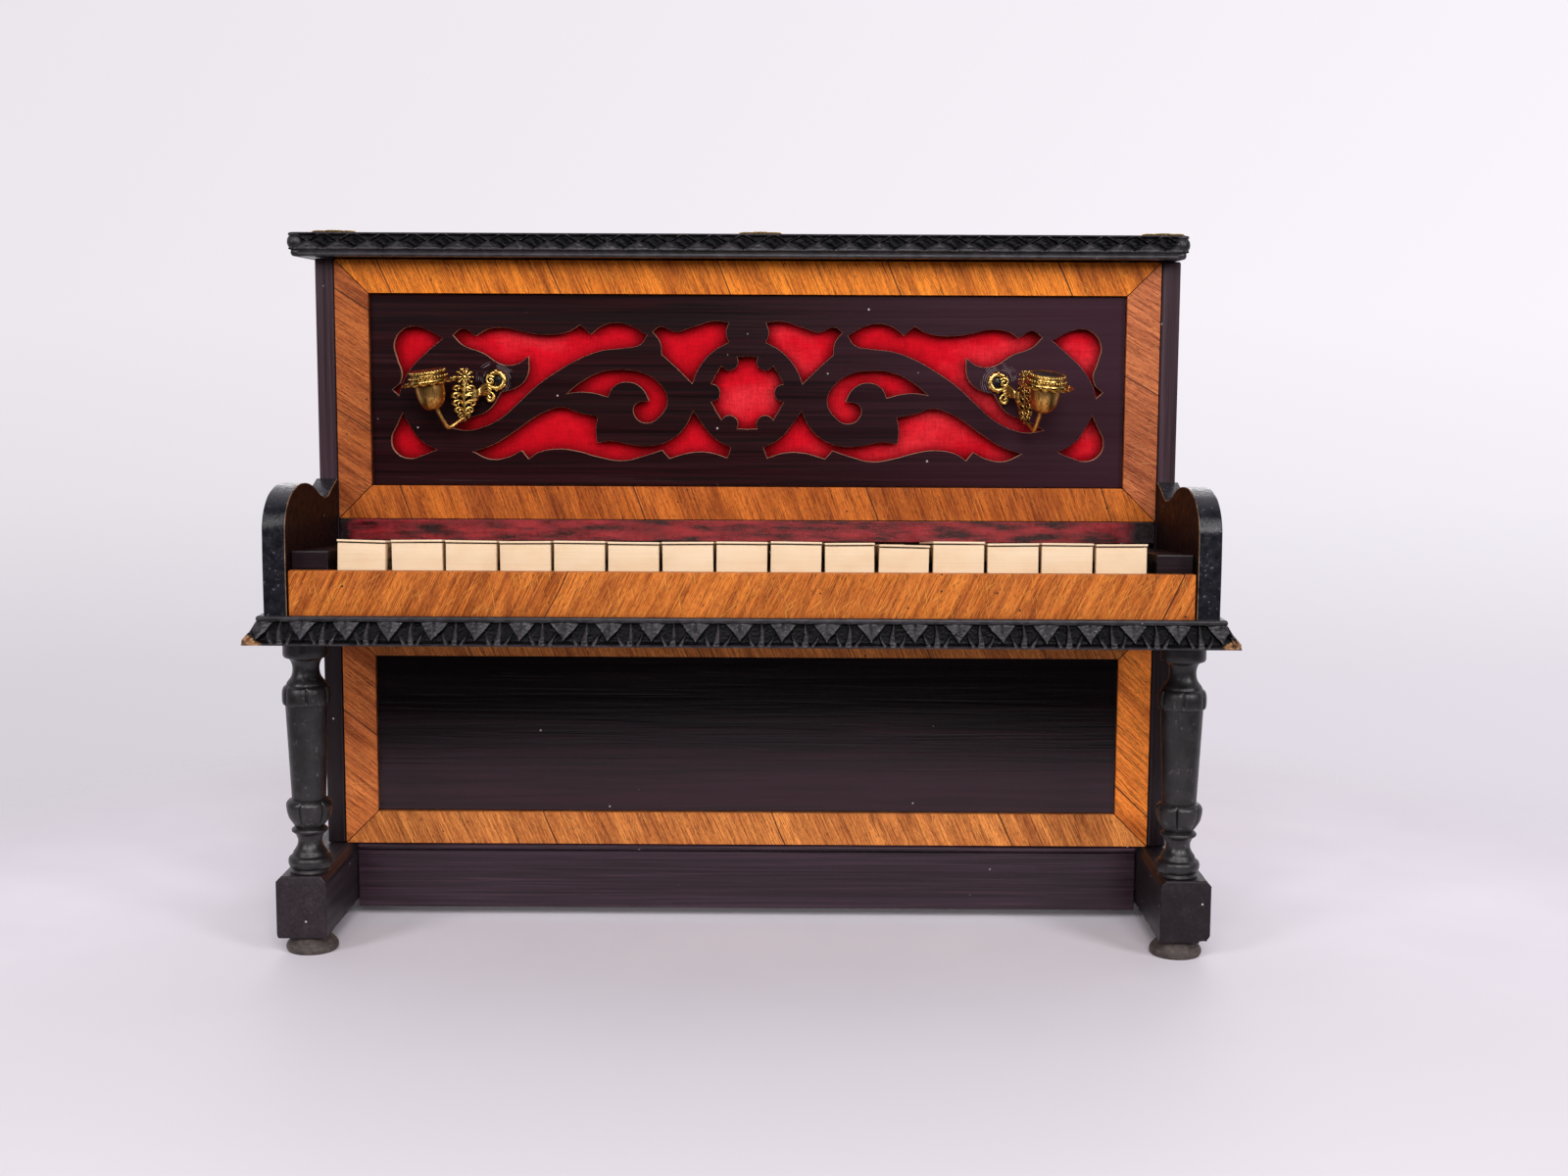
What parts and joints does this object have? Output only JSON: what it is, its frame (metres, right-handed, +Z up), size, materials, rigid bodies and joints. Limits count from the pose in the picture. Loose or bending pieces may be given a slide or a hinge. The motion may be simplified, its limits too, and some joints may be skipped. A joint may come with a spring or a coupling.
{
  "type": "miniature upright piano",
  "caption": "Miniature upright cottage piano with fretted front, carved lid edge, turned legs, playing keys, hinged lid and two swinging candle sconces.",
  "frame": {"origin": "on the floor, under the centre of the piano's overall box", "axes": "+X to the right as the player sees it, +Y from the keyboard to the back of the case, +Z up"},
  "size_m": [0.3588, 0.1758, 0.2793],
  "materials": {
    "ebonised": "black ebonised wood, satin, rubbed at the edges",
    "dark_wood": "aubergine-black stained wood, semi-gloss, faint grain",
    "tulipwood": "orange-brown cross-banded veneer, polished",
    "ivory": "cream key covering, satin, on plain wood levers",
    "brass": "gilt brass, bright on the high spots",
    "steel": "dull steel wire and tone bars",
    "crimson_cloth": "plain-woven crimson cloth",
    "crimson_leather": "dark crimson polished strip, worn",
    "plain_wood": "unstained softwood",
    "foot_grey": "dull grey-brown turned feet"
  },
  "bodies": {
    "case": {"left_side": "dark_wood", "right_side": "dark_wood", "back_board": "plain_wood", "keybed_batten": "dark_wood", "plinth": "dark_wood", "plinth_bead": "dark_wood", "lid_hinge": "brass", "upper_bottom_rail": "tulipwood", "upper_top_rail": "tulipwood", "upper_left_stile": "tulipwood", "upper_right_stile": "tulipwood", "lower_bottom_rail": "tulipwood", "lower_top_rail": "tulipwood", "lower_left_stile": "tulipwood", "lower_right_stile": "tulipwood", "lower_panel": "dark_wood", "fret_panel": "dark_wood", "fret_cloth": "crimson_cloth", "keybed": "ebonised", "key_slip": "tulipwood", "left_key_block": "dark_wood", "right_key_block": "dark_wood", "name_strip": "crimson_leather", "left_arm": "ebonised", "right_arm": "ebonised", "moulding_front": "ebonised", "moulding_left": "ebonised", "moulding_right": "ebonised", "left_foot_rail": "dark_wood", "right_foot_rail": "dark_wood", "left_leg": "ebonised", "right_leg": "ebonised", "left_front_foot": "foot_grey", "left_rear_foot": "foot_grey", "right_front_foot": "foot_grey", "right_rear_foot": "foot_grey", "left_sconce_bracket": "brass", "right_sconce_bracket": "brass", "balance_rail": "plain_wood", "balance_wire": "steel", "tone_bar_frame": "plain_wood", "tone_bars": "steel"},
    "lid_board": {"lid": "ebonised"},
    "left_sconce": {"left_sconce_arm": "brass"},
    "right_sconce": {"right_sconce_arm": "brass"},
    "key_01_lever": {"key_01": "ivory"},
    "key_02_lever": {"key_02": "ivory"},
    "key_03_lever": {"key_03": "ivory"},
    "key_04_lever": {"key_04": "ivory"},
    "key_05_lever": {"key_05": "ivory"},
    "key_06_lever": {"key_06": "ivory"},
    "key_07_lever": {"key_07": "ivory"},
    "key_08_lever": {"key_08": "ivory"},
    "key_09_lever": {"key_09": "ivory"},
    "key_10_lever": {"key_10": "ivory"},
    "key_11_lever": {"key_11": "ivory"},
    "key_12_lever": {"key_12": "ivory"},
    "key_13_lever": {"key_13": "ivory"},
    "key_14_lever": {"key_14": "ivory"},
    "key_15_lever": {"key_15": "ivory"}
  },
  "joints": [
    {"name": "lid_open", "type": "hinge", "parent": "case", "child": "lid_board", "pos_m": [0, 0.0873, 0.268], "axis": [-1, 0, 0], "range_deg": [0, 100]},
    {"name": "left_sconce_swing", "type": "hinge", "parent": "case", "child": "left_sconce", "pos_m": [-0.1078, -0.0033, 0.215], "axis": [0, 0, 1], "range_deg": [-20, 100]},
    {"name": "right_sconce_swing", "type": "hinge", "parent": "case", "child": "right_sconce", "pos_m": [0.1078, -0.0033, 0.215], "axis": [0, 0, 1], "range_deg": [-65, 55]},
    {"name": "key_01_press", "type": "hinge", "parent": "case", "child": "key_01_lever", "pos_m": [-0.13755, 0.02, 0.15], "axis": [1, 0, 0], "range_deg": [0, 4], "stiffness_Nm_per_rad": 0.06, "springref_deg": -17.19},
    {"name": "key_02_press", "type": "hinge", "parent": "case", "child": "key_02_lever", "pos_m": [-0.1179, 0.02, 0.15], "axis": [1, 0, 0], "range_deg": [0, 4], "stiffness_Nm_per_rad": 0.06, "springref_deg": -17.19},
    {"name": "key_03_press", "type": "hinge", "parent": "case", "child": "key_03_lever", "pos_m": [-0.09825, 0.02, 0.15], "axis": [1, 0, 0], "range_deg": [0, 4], "stiffness_Nm_per_rad": 0.06, "springref_deg": -17.19},
    {"name": "key_04_press", "type": "hinge", "parent": "case", "child": "key_04_lever", "pos_m": [-0.0786, 0.02, 0.15], "axis": [1, 0, 0], "range_deg": [0, 4], "stiffness_Nm_per_rad": 0.06, "springref_deg": -17.19},
    {"name": "key_05_press", "type": "hinge", "parent": "case", "child": "key_05_lever", "pos_m": [-0.05895, 0.02, 0.15], "axis": [1, 0, 0], "range_deg": [0, 4], "stiffness_Nm_per_rad": 0.06, "springref_deg": -17.19},
    {"name": "key_06_press", "type": "hinge", "parent": "case", "child": "key_06_lever", "pos_m": [-0.0393, 0.02, 0.15], "axis": [1, 0, 0], "range_deg": [0, 4], "stiffness_Nm_per_rad": 0.06, "springref_deg": -17.19},
    {"name": "key_07_press", "type": "hinge", "parent": "case", "child": "key_07_lever", "pos_m": [-0.01965, 0.02, 0.15], "axis": [1, 0, 0], "range_deg": [0, 4], "stiffness_Nm_per_rad": 0.06, "springref_deg": -17.19},
    {"name": "key_08_press", "type": "hinge", "parent": "case", "child": "key_08_lever", "pos_m": [0, 0.02, 0.15], "axis": [1, 0, 0], "range_deg": [0, 4], "stiffness_Nm_per_rad": 0.06, "springref_deg": -17.19},
    {"name": "key_09_press", "type": "hinge", "parent": "case", "child": "key_09_lever", "pos_m": [0.01965, 0.02, 0.15], "axis": [1, 0, 0], "range_deg": [0, 4], "stiffness_Nm_per_rad": 0.06, "springref_deg": -17.19},
    {"name": "key_10_press", "type": "hinge", "parent": "case", "child": "key_10_lever", "pos_m": [0.0393, 0.02, 0.15], "axis": [1, 0, 0], "range_deg": [0, 4], "stiffness_Nm_per_rad": 0.06, "springref_deg": -17.19},
    {"name": "key_11_press", "type": "hinge", "parent": "case", "child": "key_11_lever", "pos_m": [0.05895, 0.02, 0.15], "axis": [1, 0, 0], "range_deg": [0, 4], "stiffness_Nm_per_rad": 0.06, "springref_deg": -17.19},
    {"name": "key_12_press", "type": "hinge", "parent": "case", "child": "key_12_lever", "pos_m": [0.0786, 0.02, 0.15], "axis": [1, 0, 0], "range_deg": [0, 4], "stiffness_Nm_per_rad": 0.06, "springref_deg": -17.19},
    {"name": "key_13_press", "type": "hinge", "parent": "case", "child": "key_13_lever", "pos_m": [0.09825, 0.02, 0.15], "axis": [1, 0, 0], "range_deg": [0, 4], "stiffness_Nm_per_rad": 0.06, "springref_deg": -17.19},
    {"name": "key_14_press", "type": "hinge", "parent": "case", "child": "key_14_lever", "pos_m": [0.1179, 0.02, 0.15], "axis": [1, 0, 0], "range_deg": [0, 4], "stiffness_Nm_per_rad": 0.06, "springref_deg": -17.19},
    {"name": "key_15_press", "type": "hinge", "parent": "case", "child": "key_15_lever", "pos_m": [0.13755, 0.02, 0.15], "axis": [1, 0, 0], "range_deg": [0, 4], "stiffness_Nm_per_rad": 0.06, "springref_deg": -17.19}
  ]
}
